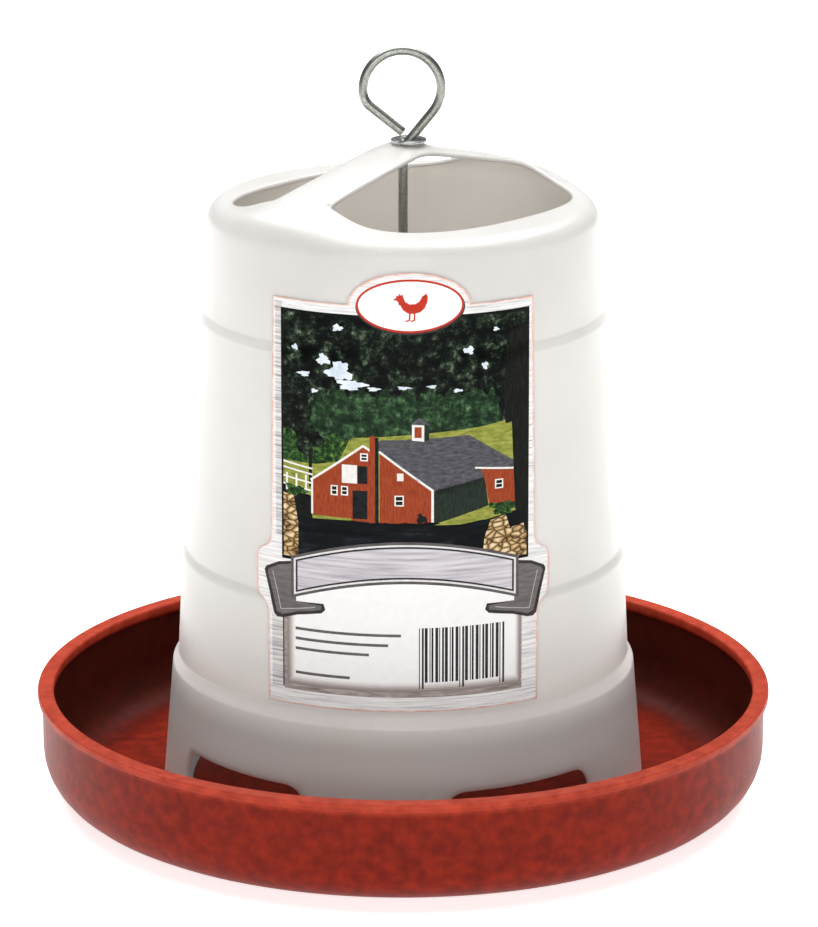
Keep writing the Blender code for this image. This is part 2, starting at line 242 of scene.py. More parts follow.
def red_polypropylene():
    """Injection-moulded polypropylene: brick red with a fine mottle, a low satin shine and a spark
    grain. The lip has a lighter tone, which is painted light for the light falling on the rim. The
    inner face of the wall has a near-black tone, which is painted shade for the shade it lies in."""
    made, tree, shader = new_material("moulded_red_polypropylene")
    place = add(tree, "TexCoord", {}, {}, "Object")
    flow = add(tree, "TexNoise", {}, {"Vector": place, "Scale": 240.0, "Detail": 6.0})
    thick = add(tree, "ValToRGB", {"stops": [(0.34, "#68180D"), (0.66, "#86220F")]}, {"Fac": flow})
    # Painted light: this lighter red goes on the lip for the light falling on the rim.
    thin = add(tree, "ValToRGB", {"stops": [(0.34, "#A03827"), (0.66, "#BA4833")]}, {"Fac": flow})
    height = add(tree, "SeparateXYZ", {}, {"Vector": place}, "Z")
    # The lip's painted light fades in over this height.
    lip = add(tree, "MapRange", {}, {"Value": height, "From Min": PAN_HEIGHT - 2 * RIM_DEPTH,
                                     "From Max": PAN_HEIGHT - 0.3 * RIM_DEPTH})
    walls_with_lit_lip = add(tree, "MixRGB", {}, {"Fac": lip, "Color1": thick, "Color2": thin})
    flat = add(tree, "VectorMath", {"operation": "MULTIPLY"}, {0: place, 1: (1, 1, 0)})
    reach = add(tree, "VectorMath", {"operation": "LENGTH"}, {0: flat}, "Value")
    outwards = add(tree, "MapRange", {}, {"Value": reach, "From Min": SHADE_START,
                                          "From Max": SHADE_FULL, "To Max": SHADE_WEIGHT})
    under_lip = add(tree, "Math", {"operation": "LESS_THAN"}, {0: height, 1: SHADE_TOP})
    # Faces that look up or towards the axis belong to the inside. At the wall, 9 times the place is
    # about one unit long.
    facing = add(tree, "TexCoord", {}, {}, "Normal")
    inwards = add(tree, "VectorMath", {"operation": "MULTIPLY"}, {0: place, 1: (-9, -9, 0)})
    slant = add(tree, "VectorMath", {"operation": "ADD"}, {0: inwards, 1: (0, 0, 1)})
    side = add(tree, "VectorMath", {"operation": "DOT_PRODUCT"}, {0: facing, 1: slant}, "Value")
    inner = add(tree, "Math", {"operation": "GREATER_THAN"}, {0: side, 1: 0.0})
    hollow = add(tree, "Math", {"operation": "MULTIPLY"}, {0: outwards, 1: inner})
    painted_shade_mask = add(tree, "Math", {"operation": "MULTIPLY"}, {0: hollow, 1: under_lip})
    # Painted shade: #23130E is mixed onto the inner face of the wall below the lip, for the shade
    # it lies in.
    tone = add(tree, "MixRGB", {}, {"Fac": painted_shade_mask, "Color1": walls_with_lit_lip, "Color2": srgb("#23130E")})
    tree.links.new(tone, shader.inputs["Base Color"])
    haze = add(tree, "TexNoise", {}, {"Vector": place, "Scale": 60.0, "Detail": 5.0})
    gloss = add(tree, "MapRange", {}, {"Value": haze, "To Min": 0.34, "To Max": 0.5})
    tree.links.new(gloss, shader.inputs["Roughness"])
    grain = add(tree, "TexNoise", {}, {"Vector": place, "Scale": 1400.0, "Detail": 2.0})
    bump = add(tree, "Bump", {}, {"Height": grain, "Strength": 0.12, "Distance": 0.0002})
    tree.links.new(bump, shader.inputs["Normal"])
    shader.inputs["IOR"].default_value = 1.49
    shader.inputs["Specular IOR Level"].default_value = 0.08
    shader.inputs["Subsurface Weight"].default_value = 0.12
    shader.inputs["Subsurface Radius"].default_value = (1.0, 0.12, 0.06)
    shader.inputs["Subsurface Scale"].default_value = 0.003
    return made


def make_pan():
    wall = PAN_WALL_RADIUS - PAN_WALL
    rim = PAN_RADIUS - RIM_WIDTH
    profile = rounded([
        (PAN_RADIUS, PAN_HEIGHT, 0.9 * MM),
        (PAN_RADIUS, PAN_HEIGHT - RIM_DEPTH, 0.6 * MM),
        (PAN_WALL_RADIUS, PAN_HEIGHT - RIM_DEPTH - 0.9 * MM, 0.5 * MM),
        (PAN_WALL_RADIUS, 0, PAN_CORNER),
        (CONE_FOOT_RADIUS - 2 * MM, 0, 3 * MM),
        (BOSS_RADIUS, BOSS_HEIGHT - BOSS_WALL, 1.5 * MM),
        (BOSS_HOLE, BOSS_HEIGHT - BOSS_WALL, 0.2 * MM),
        (BOSS_HOLE, BOSS_HEIGHT, 0.3 * MM),
        (BOSS_RADIUS, BOSS_HEIGHT, 1.5 * MM),
        (CONE_FOOT_RADIUS, PAN_FLOOR, 6 * MM),
        (wall, PAN_FLOOR, PAN_CORNER - PAN_WALL),
        (wall, PAN_HEIGHT - 4.6 * MM, 1.5 * MM),
        (rim, PAN_HEIGHT - 3 * MM, 1.2 * MM),
        (rim, PAN_HEIGHT, 0.9 * MM),
    ], steps=8)
    verts, faces = spun([(r, max(0.0, z)) for r, z in profile], 288)
    pan = piece("moulded_pan", verts, faces, [red_polypropylene()])
    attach(pan, "pan")
    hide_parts("feed_pan")


make_pan()


# ---------------------------------------------------------------- hopper
# One blow moulding in natural high-density polyethylene, 1.6 mm thick and milky. Its open top is
# crossed by a bridge of the same wall; two filling openings and four feed ports are trimmed out.
HOPPER_WALL = 1.6 * MM
HOPPER_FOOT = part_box("hopper")[0].z
FOOT_RADIUS = 79.0 * MM
SHOULDER = (75.6 * MM, 42.0 * MM, 73.6 * MM, 48.0 * MM)
LOWER_STEP = (71.9 * MM, 81.5 * MM, 70.5 * MM, 84.0 * MM)
UPPER_STEP = (65.5 * MM, 160.5 * MM, 64.6 * MM, 163.5 * MM)
RIDGE_ROUND = 6 * MM
RIDGE_HEIGHT = 197.4 * MM
CROWN_RADIUS = 56.7 * MM
ROD_HOLE = 3.5 * MM
BRIDGE_TURN = radians(47)
BRIDGE_SPREAD = 22 * MM
BRIDGE_CREST = ((0, 18.8), (6, 18.2), (12, 16.1), (29, 11.6), (45, 7.6), (56, 3.6), (63, 1.5))
OPENING_ENDS = (45.2 * MM, 47.4 * MM)
OPENING_NEAR = 9.5 * MM
OPENING_WIDEST = 14 * MM
OPENING_FAR = 45.7 * MM
OPENING_SQUARENESS = (2.1, 2.9, 6)
PORT_TURNS = (-44, 30, 136, 210)
PORT_HALF_WIDTH = 28.5 * MM
PORT_TOP = 23.7 * MM
PORT_ROUND = 8 * MM
RING = 288                  # points round every closed ring of the hopper
BAND_TOP = 38 * MM          # height where the foot band meets the turned wall
SEAM_TURN = radians(-7)     # the mould parted along this plane


def crest_height(distance):
    """Height of the bridge's centreline over the rim: a smooth curve through the crest's points."""
    reach = distance / MM
    points = BRIDGE_CREST
    for index in range(len(points) - 1):
        near, high = points[index]
        far, low = points[index + 1]
        if reach <= far:
            break
    before = points[index - 1] if index else (-points[1][0], points[1][1])
    after = points[min(index + 2, len(points) - 1)]
    span = far - near
    rise_in = (low - before[1]) / (far - before[0]) * span
    rise_out = (after[1] - high) / (after[0] - near) * span
    t = min(1.0, (reach - near) / span)
    height = (2 * t ** 3 - 3 * t ** 2 + 1) * high + (t ** 3 - 2 * t ** 2 + t) * rise_in \
        + (3 * t ** 2 - 2 * t ** 3) * low + (t ** 3 - t ** 2) * rise_out
    return height * MM


def crown_lift(x, y):
    aside = -x * sin(BRIDGE_TURN) + y * cos(BRIDGE_TURN)
    return crest_height(hypot(x, y)) / (1 + (aside / BRIDGE_SPREAD) ** 4)


def divided(outline, step):
    """A closed outline with points added along its long sides, so that it can follow a curve."""
    points = []
    for (x0, y0), (x1, y1) in zip(outline, outline[1:] + outline[:1]):
        parts = max(1, ceil(hypot(x1 - x0, y1 - y0) / step))
        points += [(x0 + (x1 - x0) * i / parts, y0 + (y1 - y0) * i / parts) for i in range(parts)]
    return points


def opening_outline(side):
    """The half-moon of one filling opening, seen from above."""
    outer, inner, straight = OPENING_SQUARENESS
    heading = BRIDGE_TURN + pi * side
    points = []
    for turn in range(0, 360, 3):
        across = cos(radians(turn))
        away = sin(radians(turn))
        if away < 0:
            power = 2 / straight
            depth = OPENING_NEAR - OPENING_WIDEST
        else:
            power = 2 / (outer if across > 0 else inner)
            depth = OPENING_FAR - OPENING_WIDEST
        reach = OPENING_ENDS[0] if across > 0 else -OPENING_ENDS[1]
        x = reach * abs(across) ** power
        y = OPENING_WIDEST + depth * abs(away) ** power
        points.append((x * cos(heading) - y * sin(heading), x * sin(heading) + y * cos(heading)))
    return divided(points, 1.5 * MM)


def inside(places, outline):
    """Which of the places lie inside a closed outline, as a numpy mask."""
    px, py = np.asarray(places).T
    mask = np.zeros(len(px), bool)
    for (x0, y0), (x1, y1) in zip(outline, outline[1:] + outline[:1]):
        if y0 == y1:
            continue
        crosses = (y0 > py) != (y1 > py)
        mask ^= crosses & (px < (x1 - x0) * (py - y0) / (y1 - y0) + x0)
    return mask


def filled(loops, low, high, spacing):
    """Triangles over the area that closed loops bound, with evenly scattered points inside."""
    verts = [Vector(p) for loop in loops for p in loop]
    edges = []
    base = 0
    for loop in loops:
        edges += [(base + i, base + (i + 1) % len(loop)) for i in range(len(loop))]
        base += len(loop)
    fixed = np.array([(v.x, v.y) for v in verts])
    rows = int(ceil((high[1] - low[1]) / (spacing * 0.866)))
    columns = int(ceil((high[0] - low[0]) / spacing))
    for row in range(1, rows):
        y = low[1] + (high[1] - low[1]) * row / rows
        for column in range(columns):
            x = low[0] + spacing * (column + 0.5 * (row % 2) + 0.25)
            if np.min((fixed[:, 0] - x) ** 2 + (fixed[:, 1] - y) ** 2) > (0.6 * spacing) ** 2:
                verts.append(Vector((x, y)))
    found = delaunay_2d_cdt(verts, edges, [], 0, 1e-9, True)
    return [tuple(v) for v in found[0]], [tuple(face) for face in found[2]]


def middles(verts, faces):
    return np.array([[sum(verts[i][axis] for i in face) / len(face) for axis in (0, 1)]
                     for face in faces])


def hopper_profile():
    """The turned part of the outer skin, from the edge of the crown down to the foot band."""
    points = []
    for step in range(15):
        turn = radians(90 - 86 * step / 14)
        points.append((CROWN_RADIUS + RIDGE_ROUND * cos(turn),
                       RIDGE_HEIGHT - RIDGE_ROUND + RIDGE_ROUND * sin(turn)))
    corners = [(*points[-1], 0)]
    for step in (UPPER_STEP, LOWER_STEP):
        corners += [(step[2], step[3], 3.2 * MM), (step[0], step[1], 3.2 * MM)]
    corners += [(SHOULDER[2], SHOULDER[3], 2.5 * MM),
                (SHOULDER[0] - 0.1 * MM, SHOULDER[1] + 2.6 * MM, 2.6 * MM),
                (FOOT_RADIUS, HOPPER_FOOT, 0)]
    wall = rounded(corners, steps=6, closed=False)
    slope = (FOOT_RADIUS - wall[-2][0]) / (wall[-2][1] - HOPPER_FOOT)
    wall[-1] = (FOOT_RADIUS - slope * (BAND_TOP - HOPPER_FOOT), BAND_TOP)
    dense = points[:-1]
    for (r0, z0), (r1, z1) in zip(wall, wall[1:]):
        pieces = max(1, int(hypot(r1 - r0, z1 - z0) / (3 * MM)))
        dense += [(r0 + (r1 - r0) * i / pieces, z0 + (z1 - z0) * i / pieces) for i in range(pieces)]
    return dense + [wall[-1]]


def port_notches(length):
    """The lower edge of the foot band laid flat, with a round-cornered notch for each port."""
    scale = length / 360
    points = []
    for turn in sorted(t % 360 for t in PORT_TURNS):
        middle = turn * scale
        side = PORT_HALF_WIDTH
        points += [(middle - side, HOPPER_FOOT + (PORT_TOP - PORT_ROUND - HOPPER_FOOT) * i / 6)
                   for i in range(7)]
        for step in range(1, 9):
            swing = pi - pi / 2 * step / 8
            points.append((middle - side + PORT_ROUND + PORT_ROUND * cos(swing),
                           PORT_TOP - PORT_ROUND + PORT_ROUND * sin(swing)))
        flat = side - PORT_ROUND
        points += [(middle - flat + 2 * flat * i / 20, PORT_TOP) for i in range(1, 20)]
        for step in range(9):
            swing = pi / 2 - pi / 2 * step / 8
            points.append((middle + side - PORT_ROUND + PORT_ROUND * cos(swing),
                           PORT_TOP - PORT_ROUND + PORT_ROUND * sin(swing)))
        points += [(middle + side, PORT_TOP - PORT_ROUND
                    - (PORT_TOP - PORT_ROUND - HOPPER_FOOT) * i / 6) for i in range(1, 7)]
    return points


def milky_polyethylene():
    """Natural high-density polyethylene, blow moulded: waxy and milky, so that light passes through
    the thin wall and fills the inside, with faint clouds where the wall is thicker and a warmer,
    lighter tone at the foot, which is painted light for the red pan's glow on it."""
    made, tree, shader = new_material("milky_blow_moulded_polyethylene")
    place = add(tree, "TexCoord", {}, {}, "Object")
    cloud = add(tree, "TexNoise", {}, {"Vector": place, "Scale": 22.0, "Detail": 3.0})
    upper = add(tree, "ValToRGB", {"stops": [(0.3, "#D8D5D0"), (0.7, "#E1DED9")]}, {"Fac": cloud})
    # Painted light: this pinker, lighter foot colour stands in for red light thrown up from the
    # pan.
    lower = add(tree, "ValToRGB", {"stops": [(0.3, "#FDEAE0"), (0.7, "#FFF1E9")]}, {"Fac": cloud})
    level = add(tree, "SeparateXYZ", {}, {"Vector": place}, "Z")
    # The foot's painted light fades in going down, from above the shoulder to just below it.
    foot = add(tree, "MapRange", {}, {"Value": level, "From Min": SHOULDER[3] + 12 * MM,
                                      "From Max": SHOULDER[1] - 2 * MM})
    tone = add(tree, "MixRGB", {}, {"Fac": foot, "Color1": upper, "Color2": lower})
    tree.links.new(tone, shader.inputs["Base Color"])
    wax = add(tree, "TexNoise", {}, {"Vector": place, "Scale": 90.0, "Detail": 2.0})
    gloss = add(tree, "MapRange", {}, {"Value": wax, "To Min": 0.3, "To Max": 0.42})
    tree.links.new(gloss, shader.inputs["Roughness"])
    across = add(tree, "VectorMath", {"operation": "DOT_PRODUCT"},
                 {0: place, 1: (cos(SEAM_TURN), sin(SEAM_TURN), 0)}, "Value")
    off = add(tree, "Math", {"operation": "ABSOLUTE"}, {0: across})
    seam = add(tree, "MapRange", {}, {"Value": off, "From Min": 0.0001, "From Max": 0.0004,
                                      "To Min": 1.0, "To Max": 0.0})
    peel = add(tree, "TexNoise", {}, {"Vector": place, "Scale": 260.0, "Detail": 1.0})
    height = add(tree, "Math", {"operation": "MULTIPLY_ADD"}, {0: seam, 1: 4.0, 2: peel})
    bump = add(tree, "Bump", {}, {"Height": height, "Strength": 0.1, "Distance": 0.0003})
    tree.links.new(bump, shader.inputs["Normal"])
    shader.inputs["IOR"].default_value = 1.54
    shader.inputs["Subsurface Weight"].default_value = 1.0
    shader.inputs["Subsurface Radius"].default_value = (1.0, 0.97, 0.93)
    shader.inputs["Subsurface Scale"].default_value = 0.005
    return made


def make_hopper():
    profile = hopper_profile()
    verts, faces = spun(profile, RING, closed=False)
    verts = [(x, y, z + crown_lift(x, y) * min(1.0, max(0.0, (z - RIDGE_HEIGHT) / RIDGE_ROUND + 1)))
             for x, y, z in verts]

    edge = [(CROWN_RADIUS * cos(2 * pi * i / RING), CROWN_RADIUS * sin(2 * pi * i / RING))
            for i in range(RING)]
    hole = [(ROD_HOLE * cos(2 * pi * i / 32), ROD_HOLE * sin(2 * pi * i / 32)) for i in range(32)]
    openings = [opening_outline(0), opening_outline(1)]
    low = (-CROWN_RADIUS, -CROWN_RADIUS)
    high = (CROWN_RADIUS, CROWN_RADIUS)
    flat, crown = filled([edge, hole] + openings, low, high, 1.8 * MM)
    spots = middles(flat, crown)
    keep = inside(spots, edge) & ~inside(spots, hole)
    for opening in openings:
        keep &= ~inside(spots, opening)
    base = len(verts)
    verts += [(x, y, RIDGE_HEIGHT + crown_lift(x, y)) for x, y in flat]
    faces += [tuple(base + i for i in face) for face, kept in zip(crown, keep) if kept]

    top_radius = profile[-1][0]
    length = 2 * pi * FOOT_RADIUS
    band = [(length * i / RING, BAND_TOP) for i in range(RING, -1, -1)]
    side = [HOPPER_FOOT + (BAND_TOP - HOPPER_FOOT) * i / 14 for i in range(1, 14)]
    foot = [(0, HOPPER_FOOT)] + port_notches(length) + [(length, HOPPER_FOOT)]
    loop = foot + [(length, z) for z in side] + band + [(0, z) for z in reversed(side)]
    flat, wall = filled([loop], (0, HOPPER_FOOT), (length, BAND_TOP), 2.4 * MM)
    keep = inside(middles(flat, wall), loop)
    base = len(verts)
    for along, z in flat:
        share = (z - HOPPER_FOOT) / (BAND_TOP - HOPPER_FOOT)
        radius = FOOT_RADIUS + (top_radius - FOOT_RADIUS) * share
        turn = 2 * pi * along / length - pi / 2
        verts.append((radius * cos(turn), radius * sin(turn), z))
    faces += [tuple(base + i for i in face) for face, kept in zip(wall, keep) if kept]

    hopper = piece("blown_hopper", verts, faces, [milky_polyethylene()])
    shell = hopper.modifiers.new("wall", "SOLIDIFY")
    shell.thickness = HOPPER_WALL
    shell.offset = -1
    trimmed = hopper.modifiers.new("trimmed_edges", "BEVEL")
    trimmed.width = 0.35 * MM
    trimmed.segments = 2
    trimmed.angle_limit = radians(60)
    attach(hopper, "hopper")
    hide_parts("hopper")
    return profile


wall_profile = make_hopper()


# ---------------------------------------------------------------- label
# A die-cut paper label with a clear coat, stuck to the front of the hopper. It is printed with a
# picture of a farm in a frame of white boards, a ribbon board across it and a plain lower panel.
LABEL_LIFT = 0.08 * MM
LABEL_THICKNESS = 0.12 * MM
LABEL_LOW = 49.9
LABEL_TOP = 178.3
LABEL_LEFT = -46.0          # these and the two above bound the label, in millimetres
LABEL_RIGHT = 45.2
LABEL_BUMP = 11


def wall_radius(height):
    heights = [z for r, z in reversed(wall_profile)]
    radii = [r for r, z in reversed(wall_profile)]
    return float(np.interp(height, heights, radii))


def oval(x, z, half_width, half_height, count=48, start=0.0, end=2 * pi):
    steps = count if end - start > 6 else count + 1
    return [(x + half_width * cos(start + (end - start) * i / count),
             z + half_height * sin(start + (end - start) * i / count)) for i in range(steps)]


def panel(x0, z0, x1, z1):
    return [(x0, z0), (x1, z0), (x1, z1), (x0, z1)]


def stroke(x0, z0, x1, z1, width):
    """A straight line of some width, as a thin four-sided outline."""
    along = Vector((x1 - x0, z1 - z0)).normalized() * width / 2
    return [(x0 - along.y, z0 + along.x), (x0 + along.y, z0 - along.x),
            (x1 + along.y, z1 - along.x), (x1 - along.y, z1 + along.x)]


def die_line(inset=0.0):
    """Outline of the label: upright sides, ribbon ends that stand out, a round bump on top."""
    side = [(42.2, LABEL_LOW), (42.2, 79), (43.2, 81.5), (45.4, 83.5), (45.8, 86), (45.8, 95.5),
            (45.0, 97.8), (42.4, 99.4), (41.3, 102), (40.3, LABEL_TOP)]
    right = [(x - inset, min(max(z, LABEL_LOW + inset), LABEL_TOP - inset)) for x, z in side]
    left = [(-x, z) for x, z in reversed(right)]
    bump = oval(2, LABEL_TOP - inset, 19 - inset, 10.4, 24, 0, pi)
    return right + bump + left


def arched(x0, x1, low, rise, height, inset=0.0):
    """A board with an arched top and bottom."""
    middle = (x0 + x1) / 2
    half = (x1 - x0) / 2
    steps = 24
    edge = []
    for i in range(steps + 1):
        x = x0 + inset + (x1 - x0 - 2 * inset) * i / steps
        edge.append((x, low + rise * (1 - ((x - middle) / half) ** 2)))
    return [(x, z + inset) for x, z in edge] + [(x, z + height - inset) for x, z in reversed(edge)]


def ink(name, stops, size, stretch=(1, 1), detail=4.0, rough=0.62, stones=False):
    """Offset ink on coated paper: a print pattern, or stones with joints, of some size in
    millimetres, through colour stops. The paper's fibre just shows in the low gloss."""
    made, tree, shader = new_material(name)
    plan = add(tree, "UVMap", {"uv_map": "print_mm"}, {})
    scaled = add(tree, "VectorMath", {"operation": "MULTIPLY"},
                 {0: plan, 1: (stretch[0] / size, stretch[1] / size, 0)})
    if stones:
        pattern = add(tree, "TexVoronoi", {"feature": "DISTANCE_TO_EDGE"},
                      {"Vector": scaled, "Scale": 1.0, "Randomness": 0.95})
    else:
        pattern = add(tree, "TexNoise", {}, {"Vector": scaled, "Scale": 1.0, "Detail": detail,
                                             "Roughness": rough})
    tone = add(tree, "ValToRGB", {"stops": stops}, {"Fac": pattern})
    tree.links.new(tone, shader.inputs["Base Color"])
    fibre = add(tree, "TexNoise", {}, {"Vector": plan, "Scale": 2.5, "Detail": 3.0})
    gloss = add(tree, "MapRange", {}, {"Value": fibre, "To Min": 0.36, "To Max": 0.46})
    tree.links.new(gloss, shader.inputs["Roughness"])
    bump = add(tree, "Bump", {}, {"Height": fibre, "Strength": 0.05, "Distance": 0.0001})
    tree.links.new(bump, shader.inputs["Normal"])
    shader.inputs["IOR"].default_value = 1.5
    shader.inputs["Specular IOR Level"].default_value = 0.07
    return made


def hen(x, z):
    """A plain hen in outline, facing left, about 11 mm wide."""
    body = [(-5.6, 1.5), (-4.5, 2.1), (-4.4, 2.9), (-3.8, 2.7), (-3.5, 3.5), (-3.0, 2.8),
            (-2.5, 3.3), (-2.3, 2.4), (-1.7, 0.9), (-0.3, 0.1), (1.5, 0.2), (2.8, 1.1), (3.6, 2.6),
            (4.9, 3.4),
            (5.3, 2.2), (5.1, 0.6), (4.3, -1.2), (2.9, -2.4), (1.0, -2.9), (-0.9, -2.7),
            (-2.4, -1.6), (-3.2, -0.2), (-3.7, -0.1), (-3.8, 0.8), (-4.4, 1.3)]
    legs = [stroke(-0.2, -2.6, -0.4, -5.0, 0.5), stroke(-0.4, -4.9, -1.6, -5.2, 0.45),
            stroke(1.2, -2.7, 1.2, -5.0, 0.5), stroke(1.2, -4.9, 0.0, -5.2, 0.45)]
    return [[(x + dx, z + dz) for dx, dz in shape] for shape in [body] + legs]


def window(x, z, width, height, white, dark):
    """A small sash window: white frame, dark panes, white glazing bar."""
    return [(white, panel(x, z, x + width, z + height)),
            (dark, panel(x + 0.4, z + 0.4, x + width - 0.4, z + height - 0.4)),
            (white, stroke(x, z + height / 2, x + width, z + height / 2, 0.3))]


def leaf_edge(x0, x1, z, swing, count, phase):
    """A ragged edge such as a tree line: a sum of three waves, from x0 to x1."""
    points = []
    for i in range(count + 1):
        x = x0 + (x1 - x0) * i / count
        wave = sin(0.9 * x + phase) + 0.6 * sin(2.3 * x + 2 * phase) + 0.45 * sin(4.9 * x + phase)
        points.append((x, z + swing * wave))
    return points


def ragged(x, z, half_width, half_height, phase):
    """A rough-edged patch, such as a bush or a gap in the leaves."""
    points = []
    for i in range(30):
        turn = 2 * pi * i / 30
        reach = 1 + 0.22 * sin(3 * turn + phase) + 0.16 * sin(5 * turn + 2.3 * phase) \
            + 0.12 * sin(11 * turn + phase)
        points.append((x + half_width * reach * cos(turn), z + half_height * reach * sin(turn)))
    return points


def farm_picture():
    """The farm scene, back to front."""
    shade = ink("print_deep_shade", [(0.3, "#070A08"), (0.8, "#1B211B")], 2.0)
    sky = ink("print_sky", [(0.3, "#B9CBDD"), (0.6, "#EAF0F4")], 5.0)
    leaves = ink("print_dark_leaves", [(0.42, "#030404"), (0.5, "#0B110D"), (0.56, "#263126"),
                                       (0.62, "#56654F"), (0.69, "#B3C1BC")], 4.5, detail=9.0,
                 rough=0.78)
    wood = ink("print_far_trees", [(0.35, "#0A140C"), (0.5, "#203522"), (0.6, "#41603F"),
                                   (0.72, "#8DA985")], 3.0, detail=8.0, rough=0.75)
    bush = ink("print_near_trees", [(0.35, "#0A130C"), (0.5, "#24401F"), (0.62, "#4C7033"),
                                    (0.75, "#86A35A")], 1.4, detail=5.0)
    meadow = ink("print_meadow", [(0.3, "#66702F"), (0.5, "#8E9440"), (0.7, "#ABA95C")],
                 3.5, (1, 3))
    barn = ink("print_red_boards", [(0.3, "#84301C"), (0.55, "#9C4426"), (0.8, "#AC543A")],
               1.6, (3.5, 0.5))
    roof = ink("print_slate", [(0.3, "#3C3C41"), (0.5, "#525257"), (0.7, "#66666E")],
               1.8, (0.8, 2.2))
    white = ink("print_white_paint", [(0.3, "#DDD9D2"), (0.7, "#F5F3EF")], 2.0)
    dark = ink("print_dark_glass", [(0.3, "#10120F"), (0.7, "#23272A")], 2.0)
    gable_side = ink("print_shaded_side", [(0.3, "#1A211C"), (0.7, "#2F3A31")], 1.6, (3, 0.6))
    road = ink("print_wet_lane", [(0.4, "#05070A"), (0.55, "#0E1316"), (0.68, "#262D33"),
                                  (0.8, "#717A82")], 5.0, (0.4, 1.8), 7.0)
    stone = ink("print_field_stone", [(0.01, "#2B2218"), (0.06, "#806640"), (0.16, "#BD9B6A"),
                                      (0.34, "#E8D5B2")], 2.1, (0.8, 1.3), stones=True)
    bark = ink("print_bark", [(0.3, "#080908"), (0.7, "#1F211C")], 2.4, (3, 0.4))

    low, top, left, right = 96.0, 175.2, -37.8, 39.2
    parts = [(shade, panel(left, low, right, top)),
             (leaves, panel(left + 0.6, 134, right - 0.6, top - 0.8)),
             (wood, [(-31, 134)] + leaf_edge(-26, 28, 151.2, 1.2, 60, 0.4) + [(33, 134)])]
    for x, z, half_width, half_height in (
            (-19.6, 157.4, 3.6, 2.8), (-16.0, 153.4, 4.2, 1.5), (-24.6, 160.6, 1.9, 1.5),
            (-30.6, 155.6, 1.7, 0.8), (-33.4, 163.4, 0.9, 0.8), (-20.2, 170.8, 1.5, 1.0),
            (-9.0, 152.4, 1.8, 0.6), (0.4, 152.9, 2.0, 0.5), (9.0, 153.2, 1.3, 0.5),
            (20.4, 163.8, 1.6, 1.1), (17.0, 151.6, 1.4, 0.5), (25.4, 158.8, 0.9, 1.1),
            (28.8, 169.6, 0.8, 0.6), (-27.4, 150.6, 1.0, 0.6)):
        parts.append((sky, ragged(x, z, half_width, half_height, 2.7 * x)))
    parts += [(meadow, [(left + 0.6, 120), (left + 0.6, 127.5), (-15, 136.8), (4, 138.3),
                        (24, 139.6), (right - 0.6, 141.8), (right - 0.6, 108), (0, 108)]),
              (bush, leaf_edge(left + 0.6, -15.5, 136.5, 1.3, 34, 2.2)
               + [(-20, 129), (-27, 127.5), (left + 0.6, 127.5)]),
              (leaves, ragged(-29.5, 135, 4.0, 5.0, 1.0)),
              (bark, panel(-29.2, 120, -28.2, 131))]
    for z in (119.4, 121.8, 124.6, 126.4):
        parts.append((white, stroke(left + 0.6, z + 0.7, -28, z - 0.6, 0.55)))
    for x in (-36.4, -33.4, -30.4):
        parts.append((white, panel(x, 117.6, x + 0.6, 123.6)))

    parts += [(roof, [(-9.5, 134.4), (-6.8, 136.4), (20.5, 137.4), (35.6, 127.0), (26.5, 123.8),
                      (9.2, 120.1)]),
              (gable_side, [(9.2, 109.6), (9.2, 120.1), (25.4, 123.6), (26.6, 114.4)]),
              (barn, [(25.2, 123.7), (24.2, 126.2), (36.4, 124.6), (36.4, 112.4), (27.0, 114.2)]),
              (roof, [(22.8, 126.9), (35.9, 125.4), (35.9, 127.4), (28.0, 128.2)]),
              (white, stroke(22.4, 126.8, 36.4, 125.0, 0.6)),
              (barn, [(-28.3, 111.6), (-28.3, 122.4), (-12.2, 134.2), (-7.8, 131.2), (-7.8, 110)]),
              (white, stroke(-28.7, 122.3, -12.2, 134.5, 0.7)),
              (white, stroke(-12.3, 134.4, -9.8, 132.8, 0.7)),
              (white, stroke(-28.2, 111.6, -28.2, 122.4, 0.6)),
              (barn, [(-7.2, 110), (-7.2, 132.4), (9.2, 120.2), (9.2, 109.6)]),
              (white, stroke(-7.4, 132.8, 9.5, 120.2, 0.7)),
              (white, stroke(9.2, 109.6, 9.2, 120.2, 0.8)),
              (barn, panel(-10.3, 110, -8.6, 137.6)),
              (dark, panel(-8.6, 110, -7.5, 137.2)),
              (white, panel(-18.9, 122.4, -14.2, 128.2)),
              (dark, panel(-14.0, 122.4, -11.0, 128.0)),
              (dark, panel(-15.6, 111.2, -11.0, 120.2)),
              (white, panel(-1.8, 123.6, 0.2, 126.0)),
              (white, [(2.8, 136.4), (2.8, 141.4), (6.6, 141.4), (6.6, 136.0)]),
              (barn, panel(3.6, 137.2, 5.8, 140.6)),
              (gable_side, [(6.6, 136.0), (6.6, 141.4), (8.1, 141.0), (8.1, 136.4)]),
              (roof, [(2.3, 141.4), (5.2, 143.6), (8.6, 141.0)])]
    for x, z, w, h in ((-13.2, 129.6, 2.4, 2.5), (-22.4, 118.2, 2.2, 3.2), (-19.2, 118.4, 2.2, 3.0),
                       (-2.6, 115.6, 2.9, 3.4), (28.6, 119.4, 2.6, 3.0)):
        parts += window(x, z, w, h, white, dark)

